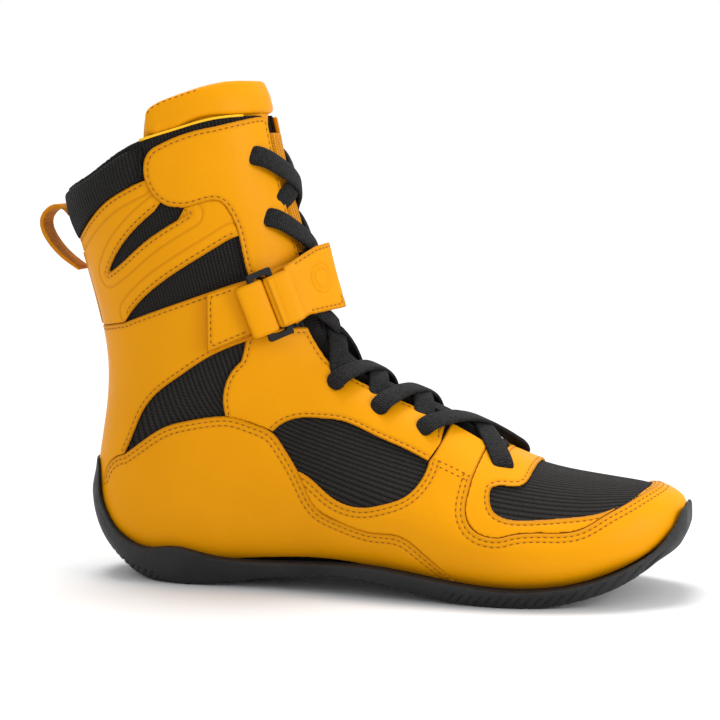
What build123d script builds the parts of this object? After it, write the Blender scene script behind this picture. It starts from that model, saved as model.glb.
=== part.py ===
from build123d import *
import math
import os

# A high lace-up ring boot for the right foot. Millimetres; toe to +X, up is +Z, outer side of the foot to -Y.
# Every layer is a distance out from the outside of the mesh bootie, which is the boot's base surface.
LINING = (-3.4, -1.3)
MESH = (-1.25, 0.0)
LEATHER = (0.05, 1.5)
COLLAR = (0.05, 2.2)
TONGUE_FLAPS = (-6.4, -3.6)
TONGUE_FACE = (-3.7, 2.2)
WEBBING = (1.6, 2.8)
REACH = 90.0

# The boot is lofted through girth sections. Each row gives the section's bottom or back point and its top or
# front point in the X-Z plane, its half widths at the heights below, and how far its middle is shifted in Y.
GIRTH_HEIGHTS = (0.06, 0.28, 0.62, 0.88)
GIRTHS = [
    ((142.5, 35.0), (142.5, 42.5), (4.5, 7.0, 6.0, 3.5), 9.0),
    ((140.0, 31.0), (140.0, 45.0), (9.5, 15.0, 13.0, 8.0), 9.0),
    ((135.0, 26.0), (135.0, 48.0), (16.0, 23.5, 21.0, 13.5), 8.0),
    ((127.0, 20.5), (127.0, 51.0), (24.0, 32.0, 28.5, 18.5), 6.5),
    ((115.0, 14.5), (115.0, 53.0), (31.0, 39.5, 35.0, 23.0), 4.5),
    ((100.0, 9.5), (100.0, 55.0), (36.0, 45.0, 39.0, 25.5), 3.0),
    ((82.0, 6.5), (82.0, 58.5), (39.0, 48.5, 41.0, 26.0), 1.5),
    ((62.0, 5.5), (62.0, 66.0), (39.0, 49.0, 40.0, 24.5), 0.0),
    ((40.0, 6.5), (40.0, 79.0), (36.5, 46.5, 36.5, 21.0), -1.0),
    ((15.0, 10.0), (15.0, 90.0), (33.0, 42.5, 33.0, 19.5), -2.0),
    ((-20.0, 13.0), (-3.0, 98.0), (29.5, 38.5, 32.0, 19.5), -1.5),
    ((-62.0, 10.0), (-16.0, 107.0), (28.0, 36.0, 32.5, 20.0), 0.0),
    ((-105.0, 8.0), (-23.0, 115.0), (26.0, 35.0, 34.0, 21.0), 0.0),
    ((-134.0, 20.0), (-27.0, 122.0), (21.0, 34.0, 35.0, 22.0), 0.0),
    ((-140.5, 48.0), (-30.0, 130.0), (18.5, 33.0, 35.5, 22.5), 0.0),
    ((-136.0, 80.0), (-33.5, 140.0), (17.5, 32.5, 35.5, 23.0), 0.0),
    ((-134.5, 106.0), (-37.0, 152.0), (18.0, 33.5, 36.0, 23.5), 0.0),
    ((-139.0, 132.0), (-41.5, 168.0), (19.0, 35.0, 37.0, 24.5), 0.0),
    ((-146.0, 157.0), (-46.5, 186.0), (19.5, 36.0, 38.0, 25.0), 0.0),
    ((-153.5, 182.0), (-51.5, 207.0), (20.0, 36.5, 38.5, 25.5), 0.0),
    ((-161.0, 208.0), (-57.0, 232.0), (20.0, 36.5, 38.5, 25.5), 0.0),
    ((-168.0, 234.0), (-63.0, 257.0), (20.0, 36.5, 38.5, 25.5), 0.0),
]
# Deeper inside than this, a form starts further back from the tip: a section for each started millimetre, up to four.
TIP_DEPTH = -1.0
MOST_TIP_ROWS_LEFT_OUT = 4
# How far the sections nearest the toe tip move forward, as a share of a layer's distance.
TIP_SHARE = (0.55, 0.5, 0.4, 0.25, 0.1)
# The sections that stand on the floor, whose underside the sole's form squares off.
FLOOR_ROWS = range(4, 13)
# The first section that is wholly above the foot.
FIRST_SHAFT_ROW = 14
# Places round a girth: bottom or back, up the inner side, top or front, then down the outer side.
PLACES = 10


def girth_points(row, offsets, lean):
    """The corner points of one girth section, each moved out by its own offset in the section's plane."""
    (bottom_x, bottom_z), (top_x, top_z), half_widths, shift = row
    height = math.hypot(top_x - bottom_x, top_z - bottom_z)
    up = ((top_x - bottom_x) / height, (top_z - bottom_z) / height)
    side = [(width, share * height) for width, share in zip(half_widths, GIRTH_HEIGHTS)]
    flat = [(0, 0), *side, (0, height), *[(-width, rise) for width, rise in reversed(side)]]
    moved = []
    for i, (across, rise) in enumerate(flat):
        before, after = flat[i - 1], flat[(i + 1) % PLACES]
        along = (after[0] - before[0], after[1] - before[1])
        size = math.hypot(*along)
        moved.append((across + offsets[i] * along[1] / size, rise - offsets[i] * along[0] / size))
    forward = lean * sum(offsets) / PLACES
    return [Vector(bottom_x + up[0] * r + forward, shift + a, bottom_z + up[1] * r) for a, r in moved]


def body(offset, drop=0.0, first=0):
    """The boot's solid form with its surface moved out by offset, one number or one for each place."""
    offsets = [offset] * PLACES if isinstance(offset, (int, float)) else offset
    if min(offsets) < TIP_DEPTH:
        first = max(first, min(MOST_TIP_ROWS_LEFT_OUT, math.ceil(-min(offsets))))
    sections = []
    for i, row in enumerate(GIRTHS):
        if i < first:
            continue
        lean = TIP_SHARE[i] if i < len(TIP_SHARE) else 0.0
        points = girth_points(row, offsets, lean)
        if drop and i in FLOOR_ROWS:
            for place in (0, 1, PLACES - 1):
                points[place] -= Vector(0, 0, drop)
        inner = Edge.make_spline(points[:PLACES // 2 + 1])
        outer = Edge.make_spline(points[PLACES // 2:] + points[:1])
        sections.append(Wire([inner, outer]))
    return Solid.make_loft(sections, False)


def largest(shape):
    """The biggest of a shape's solids, without any sliver that a cut leaves."""
    return max(shape.solids(), key=lambda solid: solid.volume)


def raised(offsets, by):
    """The same offsets, all moved out by the same distance."""
    return tuple(o + by for o in offsets)


made_layers = {}


def layer(low, high):
    """The shell between two distances out from the base surface."""
    if (low, high) not in made_layers:
        made_layers[low, high] = body(high) - body(low)
    return made_layers[low, high]


SIDE_VIEW = Plane(origin=(0, 0, 0), x_dir=(1, 0, 0), z_dir=(0, -1, 0))


def smooth(*points):
    return ("smooth", points)


def straight(*points):
    return ("straight", points)


def side_face(*runs):
    """A flat outline seen from the side, from smooth and straight runs that each carry on from the last."""
    edges, last = [], runs[0][1][0]
    for kind, points in runs:
        points = [p for p in points if p != last]
        if kind == "smooth":
            edges.append(Spline(last, *points))
        else:
            edges.append(Polyline(last, *points))
        last = points[-1]
    if last != runs[0][1][0]:
        edges.append(Line(last, runs[0][1][0]))
    return make_face(edges)


OUTER, INNER, BOTH = "outer", "inner", "both"


def through(face, side=BOTH):
    """The side outline run through the boot, to one side of its middle or to both."""
    placed = SIDE_VIEW * face
    if side == BOTH:
        return extrude(placed, amount=REACH, both=True)
    return extrude(placed, amount=REACH, dir=(0, -1, 0) if side == OUTER else (0, 1, 0))


def strip_across(low, high):
    """All of the boot between two distances in Y."""
    return Pos(0, (low + high) / 2, 100) * Box(700, high - low, 700)


# Lines seen from the side.
COLLAR_LINE = [(-175, 178), (-159, 184), (-145, 190), (-134, 195), (-118, 205), (-103, 212), (-90, 216),
               (-78, 220), (-66, 222), (-52, 222)]
BAND_LOW = [(-172, 150), (-157, 158), (-144, 166), (-135, 174), (-124, 183), (-113, 189), (-105.2, 193)]
RAND_TOP = [(-138.5, 57), (-136.4, 51), (-133.5, 40), (-130, 32), (-125, 25), (-118, 20), (-111, 17.5),
            (-104, 17.6), (-97, 18.7), (-90, 18.6), (-82, 16.8), (-72, 14.5), (-60, 13.6), (-40, 13.8), (-11, 15),
            (6, 14.8), (29, 12.4), (48, 10.0), (67, 8.6), (82, 9.0), (95, 10.4), (108, 13.4), (121, 18.4),
            (132, 25), (138, 31.5), (141.5, 37.5), (143, 43)]
# The sole's underside: flat under the ball and under the heel, and clear of the floor elsewhere.
GROUND_TOE = [(160, 40), (147, 38), (144.6, 30), (141, 23), (135, 17.4), (127, 13.3), (119, 10), (111, 6.8),
              (102, 4), (94, 1.9), (87, 0.6), (80, 0)]
GROUND_ARCH = [(50, 0), (44, 0.9), (38, 1.9), (28, 3.5), (18, 5.4), (8, 7.3), (-2, 8.8), (-12, 9.2), (-22, 8.5),
               (-32, 7.6), (-42, 6.4), (-51, 5.0), (-62, 3.2), (-71, 1.7), (-79, 0.6), (-86, 0)]
GROUND_HEEL = [(-106, 0), (-113, 1.2), (-125, 4.4), (-132, 9.3), (-138, 17.7), (-142, 26), (-175, 40)]
FLEX_X = 68.0
# The line of the ankle's crease: it falls towards the back from the bend over the instep.
CREASE = [(-180, 52), (60, 147)]

ABOVE_CREASE = through(side_face(straight(*CREASE, (60, 300), (-180, 300))))
BELOW_CREASE = through(side_face(straight((60, 146.7), (-180, 51.7), (-180, -60), (200, -60), (200, 146.7))))
BELOW_COLLAR = through(side_face(smooth(*COLLAR_LINE), straight((-30, 222), (200, 222), (200, -60), (-175, -60))))
AHEAD_OF_FLEX = Pos(FLEX_X + 200.15, 0, 100) * Box(400, 400, 400)
BEHIND_FLEX = Pos(FLEX_X - 200.15, 0, 100) * Box(400, 400, 400)

# The throat: the slot over the instep and up the front that the tongue fills.
SHAFT_GAP, VAMP_GAP, THROAT_END = 8.5, 12.5, 61.0
THROAT = (
    through(side_face(straight((-90, 260), (-10, 260), (-5, 128), (-60, 128)))) & strip_across(-SHAFT_GAP, SHAFT_GAP)
) + (
    through(side_face(straight((-60, 128.1), (-5, 128.1), (THROAT_END, 110), (THROAT_END, 50), (0, 62), (-60, 95))))
    & strip_across(-VAMP_GAP, VAMP_GAP)
)


def panel(face, side, thickness=LEATHER):
    """A leather panel: the side outline's part of a layer."""
    return layer(*thickness) & through(face, side)


# The cup sole, in two halves that meet at the flex line.
SOLE_WALL = 5.5
SOLE_DROP = 8.0
FOOT_HOLLOW = 1.6
cup = (body(SOLE_WALL, SOLE_DROP) - body(FOOT_HOLLOW)) & through(side_face(
    straight((-175, 40), (-175, 57), (-138.5, 57)), smooth(*RAND_TOP), straight((143, 43), (160, 44), (160, 40)),
    smooth(*GROUND_TOE), straight((80, 0), (50, 0)), smooth(*GROUND_ARCH), straight((-86, 0), (-106, 0)),
    smooth(*GROUND_HEEL)))
outsole_heel = cup & BEHIND_FLEX
outsole_forefoot = cup & AHEAD_OF_FLEX

# Lining and mesh bootie, cut at the collar, the throat, the ankle's crease and the flex line.
STIFFENER_FACE = side_face(
    straight((-175, 22), (-175, 70)), smooth((-175, 70), (-139, 66), (-122, 58), (-106, 44), (-98, 26)),
    straight((-175, 22)))
lining = (layer(*LINING) & BELOW_COLLAR) - THROAT
shaft_lining = lining & ABOVE_CREASE
foot_lining = lining & BELOW_CREASE
toe_lining = (body(LINING[1]) & AHEAD_OF_FLEX) - body(LINING[0])
vamp_lining = foot_lining & BEHIND_FLEX
mesh = (layer(*MESH) & BELOW_COLLAR) - THROAT
heel_stiffener = layer(-1.2, -0.05) & through(STIFFENER_FACE)
mesh = mesh - through(STIFFENER_FACE)
shaft_mesh = mesh & ABOVE_CREASE
foot_mesh = mesh & BELOW_CREASE
toe_mesh = foot_mesh & AHEAD_OF_FLEX
vamp_mesh = foot_mesh & BEHIND_FLEX

# Inside the foot: a stiff board as far as the flex line, and a footbed over the whole length.
shank_board = body(-3.6) & through(side_face(
    smooth((-160, 12.5), (-105, 13.2), (-62, 15.2), (-20, 18.2), (15, 15.2), (40, 11.4), (FLEX_X - 2, 10.4)),
    straight((FLEX_X - 2, -20), (-160, -20))))
footbed = body(-3.7) & through(side_face(
    smooth((-160, 17.5), (-105, 18.0), (-62, 19.6), (-20, 22.4), (15, 19.4), (40, 15.4), (62, 14.2), (82, 15.2),
           (100, 18.0), (115, 22.6), (127, 28.6), (145, 40)),
    straight((160, 40), (160, 20), (145, 27)),
    smooth((145, 27), (127, 25.4), (115, 19.4), (100, 14.6), (82, 11.6), (62, 10.8), (40, 11.8), (15, 15.6),
           (-20, 18.6), (-62, 15.6), (-105, 13.6), (-160, 12.9))))

# Leather panels, from the top down. A panel that lies over another is cut out of it.
WING_FACE = side_face(
    straight((-57, 221.5), (-73, 217)), smooth((-73, 217), (-90, 212), (-100, 207)),
    smooth((-100, 207), (-103.5, 202), (-104, 195), (-101, 187), (-95, 181.5), (-88, 180)),
    smooth((-88, 180), (-77, 182), (-70, 182.5), (-66, 178), (-61.5, 167), (-57, 148)),
    straight((-49.4, 146.5), (-44, 136), (-20, 136), (-30, 221.5)))
wing_outer = panel(WING_FACE, OUTER) - THROAT
wing_inner = panel(WING_FACE, INNER) - THROAT

COLLAR_BAND_FACE = side_face(
    smooth(*BAND_LOW), straight((-105.2, 193), (-105.2, 207.5)),
    smooth((-105.2, 207.5), (-118, 202.6), (-134, 193), (-145, 188.2), (-159, 182), (-175, 176)))
collar_band = panel(COLLAR_BAND_FACE, BOTH, COLLAR)

BACK_FACE = side_face(
    smooth((-172, 149.5), (-157, 157.5), (-144, 165.5), (-135, 173.5), (-124, 182.5), (-113, 188.5), (-104.5, 192.5)),
    smooth((-104.5, 192.5), (-101.5, 186.5), (-95.5, 181)),
    smooth((-95.5, 181), (-109, 170), (-120, 158), (-126, 148)),
    smooth((-126, 148), (-118, 153), (-104, 164), (-90, 173), (-76, 181.7)),
    smooth((-76, 181.7), (-70.2, 182), (-66.4, 177.6), (-62.4, 167.2)),
    smooth((-62.4, 167.2), (-81, 155), (-95, 146), (-109, 135), (-118, 125)),
    straight((-133, 122.2), (-175, 118.2)))
back_panel = panel(BACK_FACE, BOTH)

STRAP_TOP = [(-118, 124.8), (-101, 131), (-81, 138), (-67, 143), (-54, 147)]
ANKLE_ARC = [(-50, 120), (-59, 117), (-73, 111), (-90, 100), (-101, 92), (-108, 84), (-114, 72), (-119, 62)]
ANKLE_FACE = side_face(
    straight((-175, 118), (-133, 122)), straight((-133, 122), (-118, 124.8)), smooth(*STRAP_TOP),
    straight((-50, 134), (-50, 120)), smooth(*ANKLE_ARC), smooth((-119, 62), (-130, 54), (-133, 42), (-132, 34)),
    straight((-175, 34)))
ankle_panel = panel(ANKLE_FACE, BOTH) - cup

COUNTER_TOP = [(-118.8, 61.8), (-107, 70), (-95, 77), (-84, 80), (-72, 82), (-64, 82), (-54, 79), (-45, 75),
               (-39, 68), (-32, 58), (-28, 51), (-21, 41), (-10, 36), (6, 32), (20, 31), (29, 25), (38, 17), (47, 8)]
COUNTER_FACE = side_face(
    smooth((-131.8, 34), (-132.8, 42), (-129.8, 53.8), (-118.8, 61.8)), smooth(*COUNTER_TOP),
    smooth((47, 8), (15, 13.5), (-20, 17), (-62, 14.5), (-105, 13), (-131.8, 18)))
counter_outer = largest(panel(COUNTER_FACE, OUTER) - cup)
counter_inner = largest(panel(COUNTER_FACE, INNER) - cup)

QUARTER_FACE = side_face(
    straight((-54, 118), (-25, 118)), straight((-20, 128), (60, 108), (60, 70), (33.5, 72)),
    smooth((33.5, 72), (31, 66), (29.5, 64)),
    smooth((29.5, 64), (16, 70), (3, 75), (-13, 81), (-24, 82), (-32, 82), (-39, 80), (-44.5, 75.6)),
    smooth((-44.5, 75.6), (-54, 79.3), (-66.8, 82.3)), smooth((-66.8, 82.3), (-68, 88), (-66, 100), (-60, 108)))
QUARTER_CUT = through(side_face(straight((33.7, 130), (33.7, 71.8), (29, 64), (29, 40), (90, 40), (90, 130))))
quarter_outer = (panel(QUARTER_FACE, OUTER) - THROAT) - QUARTER_CUT
quarter_inner = (panel(QUARTER_FACE, INNER) - THROAT) - QUARTER_CUT

MUD_FACE = side_face(
    smooth((-31.8, 57.8), (-23, 53), (-15, 47), (-8, 44), (1, 43), (11, 45), (21, 49), (26, 54), (29.8, 64)),
    smooth((29.8, 64), (34, 72), (36, 90)), straight((53, 90), (53.5, 69)),
    smooth((53.5, 69), (52, 64), (50, 57)), smooth((50, 57), (49, 50), (49, 43), (52, 37), (58, 33.5), (67, 33)),
    smooth((67, 33), (85, 35), (101, 36.5), (111, 42), (119, 46), (125, 49), (133, 52)),
    straight((165, 52), (165, 30), (142, 34)),
    smooth((142, 34), (135, 28), (127, 22.5), (115, 16.5), (100, 11.8), (82, 8.8), (62, 8), (47.2, 8)),
    smooth((47.2, 8), (38.2, 17.2), (29.2, 25.2), (20, 31.2), (6, 32.2), (-10, 36.2), (-21, 41.2), (-31.8, 57.8)))
mudguard = ((layer(*LEATHER) & (through(MUD_FACE) - through(COUNTER_FACE))) - THROAT) - cup

RIM_FACE = side_face(
    straight((53.7, 69), (54, 95), (80, 95), (80, 69), (76, 61), (75, 57)), smooth((75, 57), (73, 54.4), (64, 54), (59, 53)),
    smooth((59, 53), (59, 49), (61, 44), (66, 41), (75, 40), (93, 41), (109, 43), (119, 46.6), (126, 50.5)),
    straight((133, 53.5), (133, 52.2)),
    smooth((133, 52.2), (125, 49.2), (111, 42.2), (101, 36.7), (85, 35.2), (67, 33.2)),
    smooth((67, 33.2), (58, 33.7), (52.2, 37.2), (49.2, 43), (49.2, 50), (50.2, 57)),
    smooth((50.2, 57), (52.2, 64), (53.7, 69)))
toe_frame = (panel(RIM_FACE, BOTH) - THROAT)

# The tongue: flaps under the lining's edges, and a raised face in the throat.
TONGUE_REGION = through(side_face(
    straight((-88, 214), (-20, 214), (-4, 128), (72, 108), (72, 48), (0, 58), (-62, 95), (-74, 140))))
flaps = (layer(*TONGUE_FLAPS) & TONGUE_REGION) & strip_across(-27, 27)
tongue_shaft = flaps & ABOVE_CREASE
tongue_vamp = flaps & BELOW_CREASE
face_strip = TONGUE_REGION & strip_across(-SHAFT_GAP + 0.9, SHAFT_GAP - 0.9)
face = (layer(-3.55, 2.2) & face_strip) & BEHIND_FLEX
face = face & (Pos(THROAT_END - 201, 0, 100) * Box(400, 400, 400))
tongue_face_shaft = face & ABOVE_CREASE
tongue_face_vamp = face & BELOW_CREASE
TONGUE_TOP_FACE = side_face(
    smooth((-105.5, 213), (-106, 218), (-104, 223.5), (-95, 229.5), (-86, 233), (-74, 237), (-66, 238.2)),
    straight((-66, 238.2), (-40, 238.2), (-40, 214.3), (-88, 214.3)))
tongue_top = (body(-3.6, first=FIRST_SHAFT_ROW) - body(-8.0, first=FIRST_SHAFT_ROW)) & through(TONGUE_TOP_FACE)
ABOVE_WINGS = through(side_face(straight((-104, 219), (-90, 219.4), (-78, 223.2), (-40, 225), (-40, 240), (-104, 240))))
tongue_badge = (layer(-3.4, -0.4) & through(TONGUE_TOP_FACE)) & ABOVE_WINGS

# The strap over the instep: it leaves the inner side, crosses the laces and turns back round the ring's front bar.
STRAP_LOW = (0.0, 1.6, 1.7, 2.7, 5.6, 8.9, 5.0, 2.7, 2.5, 2.0)
TAIL_LOW = (0.0, 1.6, 3.1, 5.5, 8.4, 11.7, 8.7, 8.3, 7.0, 5.0)
STRAP_THICK, PATCH_THICK = 1.5, 0.6
strap_shell = body(raised(STRAP_LOW, STRAP_THICK)) - body(STRAP_LOW)
BAND = through(side_face(
    straight((-84, 135), (-67, 143), (-54, 147.2), (-34, 156.5), (-20, 163), (-10, 134), (-25, 132), (-46, 122.8),
             (-60, 118), (-76, 111))))
BEHIND_RING = through(side_face(straight((-46.8, 200), (-46.8, 90), (-120, 90), (-120, 200))), OUTER)
strap_band = (strap_shell & BAND) - BEHIND_RING

# The ring's place: the middle of its window, the way out of the boot, and the way along its long bars.
RING_OUT = Vector(0.56, -0.825, 0.08).normalized()
RING_UP = Vector(-0.31, -0.16, 0.937)
RING_UP = (RING_UP - RING_OUT * RING_UP.dot(RING_OUT)).normalized()
RING_MIDDLE = Vector(-49.6, -28.2, 134.5) + RING_OUT * 6.7
RING_PLANE = Plane(origin=RING_MIDDLE, x_dir=RING_OUT.cross(RING_UP), z_dir=RING_OUT)
RING_LONG, RING_WIDE, RING_BAR = 33.0, 12.5, 2.8
BAR_PLACE = (RING_WIDE - RING_BAR) / 2
ring_blank = Box(RING_WIDE, RING_LONG, RING_BAR) - Box(RING_WIDE - 2 * RING_BAR, RING_LONG - 2 * RING_BAR, 9)
ring_blank = fillet(ring_blank.edges().filter_by(Axis.Z), 1.0)
ring = RING_PLANE * ring_blank

BEND_LONG = 24.0
strap_bend = Pos(-BAR_PLACE + 0.8, 0, 0) * Box(4.6, BEND_LONG, 6.1) - Pos(-BAR_PLACE - 0.5, 0, 0) * Box(4.4, 40, 3.1)
strap = (strap_band + RING_PLANE * strap_bend) - ring

TAIL_FACE = side_face(
    straight((-40.8, 152), (-30, 161), (-8, 170), (-6, 134), (-30, 129.5), (-35, 125.5)))
TAIL_REACH = 19.0
strap_tail = ((body(raised(TAIL_LOW, STRAP_THICK)) - body(TAIL_LOW)) & through(TAIL_FACE)) & strip_across(-80, TAIL_REACH)
PATCH_REGION = through(side_face(straight((-60, 165), (5, 165), (5, 138), (-25, 134.5), (-60, 124)))) & strip_across(-9, 17)
hook_patch = ((body(TAIL_LOW) - body(raised(TAIL_LOW, -PATCH_THICK))) & through(TAIL_FACE)) & PATCH_REGION
loop_patch = (body(raised(STRAP_LOW, STRAP_THICK + PATCH_THICK)) - body(raised(STRAP_LOW, STRAP_THICK))) & BAND
loop_patch = loop_patch & PATCH_REGION

# The leather tab that folds round the ring's rear bar.
TAB_FACE = side_face(straight((-74, 140), (-55.5, 146), (-48.5, 123.5), (-74, 112.5)))
tab_base = layer(1.6, 6.0) & through(TAB_FACE, OUTER)
tab_fold = Pos(BAR_PLACE, 0, 0) * (Box(8.0, 26.4, 5.6) - Box(3.1, 40, 3.1))
ring_tab = largest((tab_base + RING_PLANE * tab_fold) - ring)

# Webbing up the back seam, and the loop it makes at the top.
WEB_HALF = 6.5
BACK_ZONE = through(side_face(straight((-180, 154), (-120, 158), (-120, 122), (-180, 122))))
back_webbing = (layer(*WEBBING) & BACK_ZONE) & strip_across(-WEB_HALF, WEB_HALF)
LOOP_FACE = side_face(
    smooth((-155.2, 173.2), (-163.6, 179.2), (-170.0, 173.0), (-166.4, 160.6), (-159.0, 153.0), (-150.6, 147.4)),
    straight((-150.6, 147.4), (-149.8, 148.9)),
    smooth((-149.8, 148.9), (-157.8, 154.7), (-164.6, 162.0), (-167.8, 172.4), (-163.4, 176.9), (-154.6, 171.6)))
pull_loop = extrude(SIDE_VIEW * LOOP_FACE, amount=WEB_HALF, both=True) - body(3.0)

# Lace: flat bands from slot to slot in two crossing layers. Each slot is given by its X, Z and distance to one side.
SLOTS = [(61, 61, 22), (25, 76, 23), (3, 85, 22), (-19, 95, 20), (-41, 140, 20), (-51, 173, 21), (-58.5, 202, 21)]
LACE_LOW = (0.0, 1.6, 1.6, 2.2, 2.4, 4.4, 2.4, 2.2, 1.6, 1.6)
LACE_THICK, LACE_WIDE, LACE_STEP = 1.4, 7.5, 1.55
under_lace = body(raised(LACE_LOW, LACE_THICK)) - body(LACE_LOW)
over_lace = body(raised(LACE_LOW, LACE_STEP + LACE_THICK)) - body(raised(LACE_LOW, LACE_STEP))


def lace_band(shell, low, high, side):
    """A band from the low slot on one side over to the high slot on the other, cut from a lace layer."""
    start, end = Vector(low[0], side * low[2], low[1]), Vector(high[0], -side * high[2], high[1])
    across, rise = end - start, Vector(high[0] - low[0], 0, high[1] - low[1])
    out = Vector(0, 1, 0).cross(rise).normalized() * (1 if rise.X < 0 else -1)
    if out.X < 0 or out.Z < 0:
        out = out * -1
    place = Plane(origin=(start + end) * 0.5, x_dir=across.normalized(), z_dir=across.cross(out.cross(across)).normalized())
    return largest(shell & (place * Box(across.length, LACE_WIDE, 56)))


def lace_cross(row):
    """Both bands between one row of slots and the next."""
    return lace_band(under_lace, SLOTS[row], SLOTS[row + 1], -1) + lace_band(over_lace, SLOTS[row], SLOTS[row + 1], 1)


parts = {
    "outsole_heel": outsole_heel,
    "outsole_forefoot": outsole_forefoot,
    "shank_board": shank_board,
    "footbed": footbed,
    "heel_stiffener": heel_stiffener,
    "vamp_lining": vamp_lining,
    "toe_lining": toe_lining,
    "shaft_lining": shaft_lining,
    "vamp_mesh": vamp_mesh,
    "toe_mesh": toe_mesh,
    "shaft_mesh": shaft_mesh,
    "counter_outer": counter_outer,
    "counter_inner": counter_inner,
    "quarter_outer": quarter_outer,
    "quarter_inner": quarter_inner,
    "mudguard": mudguard,
    "toe_frame": toe_frame,
    "wing_outer": wing_outer,
    "wing_inner": wing_inner,
    "collar_band": collar_band,
    "back_panel": back_panel,
    "ankle_panel": ankle_panel,
    "back_webbing": back_webbing,
    "tongue_shaft": tongue_shaft,
    "tongue_vamp": tongue_vamp,
    "tongue_face_shaft": tongue_face_shaft,
    "tongue_face_vamp": tongue_face_vamp,
    "tongue_top": tongue_top,
    "tongue_front_pad": tongue_badge,
    "ring_tab": ring_tab,
    "ring": ring,
    "strap": strap,
    "loop_patch": loop_patch,
    "strap_tail": strap_tail,
    "hook_patch": hook_patch,
    "pull_loop": pull_loop,
    "lace_toe": lace_cross(0),
    "lace_vamp": lace_cross(1) + lace_cross(2),
    "lace_ankle": lace_cross(3),
    "lace_shaft": lace_cross(4) + lace_cross(5),
}

# The row's frame: the middle of the boot's box in X and Y, and the floor at Z 0.
boxes = [part.bounding_box() for part in parts.values()]
middle_x = (min(b.min.X for b in boxes) + max(b.max.X for b in boxes)) / 2
middle_y = (min(b.min.Y for b in boxes) + max(b.max.Y for b in boxes)) / 2
floor_z = min(b.min.Z for b in boxes)

os.makedirs("parts", exist_ok=True)
for name, part in parts.items():
    export_step(Pos(-middle_x, -middle_y, -floor_z) * part, f"parts/{name}.step")
print("moved by", round(-middle_x, 3), round(-middle_y, 3), round(-floor_z, 3))
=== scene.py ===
import math

import bmesh
import bpy
import numpy as np
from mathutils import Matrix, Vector
from mathutils.kdtree import KDTree


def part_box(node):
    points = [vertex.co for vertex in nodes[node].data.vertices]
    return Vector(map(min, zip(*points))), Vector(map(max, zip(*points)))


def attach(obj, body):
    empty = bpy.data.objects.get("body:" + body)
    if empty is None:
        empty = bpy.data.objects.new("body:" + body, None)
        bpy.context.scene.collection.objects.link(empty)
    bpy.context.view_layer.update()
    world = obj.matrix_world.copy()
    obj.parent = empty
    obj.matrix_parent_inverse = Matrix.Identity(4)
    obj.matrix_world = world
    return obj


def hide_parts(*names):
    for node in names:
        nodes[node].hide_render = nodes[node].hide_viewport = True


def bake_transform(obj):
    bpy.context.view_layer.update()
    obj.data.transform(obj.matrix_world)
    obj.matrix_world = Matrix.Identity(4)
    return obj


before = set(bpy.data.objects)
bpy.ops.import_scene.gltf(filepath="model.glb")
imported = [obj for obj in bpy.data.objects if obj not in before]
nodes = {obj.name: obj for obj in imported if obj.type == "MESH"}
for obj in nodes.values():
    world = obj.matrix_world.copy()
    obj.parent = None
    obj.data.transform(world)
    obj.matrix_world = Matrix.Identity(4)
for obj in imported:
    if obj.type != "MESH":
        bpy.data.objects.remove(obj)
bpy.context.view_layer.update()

# The part's own design point: X from the toe's end, Y from the middle of the heel loop, Z from the floor.
MM = 0.001
TOE_END = 145.5
loop_low, loop_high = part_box("pull_loop")
origin = np.array([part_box("outsole_forefoot")[1].x - TOE_END * MM, (loop_low.y + loop_high.y) / 2, 0.0])


def at(x, y, z):
    """A point given in the part's design millimetres, in the frame's metres."""
    return Vector(origin + np.array([x, y, z]) * MM)


# ---------------------------------------------------------------- the line through the middle of the boot
CORE = [
    (150, 10, 42), (132, 8, 38), (100, 3, 33), (60, 0, 36), (20, -1, 46), (-20, -1, 58), (-52, 0, 70),
    (-72, 0, 88), (-82, 0, 112), (-90, 0, 140), (-98, 0, 170), (-105, 0, 200), (-113, 0, 235),
    (-122, 0, 262)]
CORE_STEPS = 10
GIRTH_RADIUS = 38.0
CHUNK = 20000


def core_samples():
    """Even points along a smooth curve through CORE, with their directions and distances along it."""
    knots = np.array(CORE, float)
    knots = np.vstack([2 * knots[0] - knots[1], knots, 2 * knots[-1] - knots[-2]])
    points = []
    for i in range(1, len(knots) - 2):
        a, b, c, d = knots[i - 1:i + 3]
        for t in np.arange(CORE_STEPS) / CORE_STEPS:
            points.append(0.5 * (2 * b + (c - a) * t + (2 * a - 5 * b + 4 * c - d) * t ** 2
                                 + (3 * b - 3 * c + d - a) * t ** 3))
    points = np.array(points)
    ways = np.gradient(points, axis=0)
    steps = np.linalg.norm(ways, axis=1)
    return points, ways / steps[:, None], np.concatenate([[0], np.cumsum(steps[1:])])


core_points, core_ways, core_lengths = core_samples()


def around(co):
    """The direction out of the boot at points in metres, and the millimetres along the boot and round it."""
    p = (co - origin) / MM
    nearest = np.empty(len(p), int)
    for start in range(0, len(p), CHUNK):
        part = p[start:start + CHUNK]
        gaps = ((part[:, None, :] - core_points[None]) ** 2).sum(2)
        nearest[start:start + CHUNK] = gaps.argmin(1)
    way = core_ways[nearest]
    off = p - core_points[nearest]
    ahead = (off * way).sum(1)
    out = off - way * ahead[:, None]
    up = np.column_stack([way[:, 2], np.zeros(len(p)), -way[:, 0]])
    angle = np.arctan2(out[:, 1], (out * up).sum(1))
    out /= np.maximum(np.linalg.norm(out, axis=1), 1e-6)[:, None]
    return out, core_lengths[nearest] + ahead, angle * GIRTH_RADIUS


# ---------------------------------------------------------------- mesh helpers
def coordinates(mesh):
    co = np.empty(len(mesh.vertices) * 3)
    mesh.vertices.foreach_get("co", co)
    return co.reshape(-1, 3)


def set_coordinates(mesh, co):
    mesh.vertices.foreach_set("co", co.ravel())
    mesh.update()


def vertex_normals(mesh):
    normals = np.empty(len(mesh.vertices) * 3)
    mesh.vertex_normals.foreach_get("vector", normals)
    return normals.reshape(-1, 3)


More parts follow.
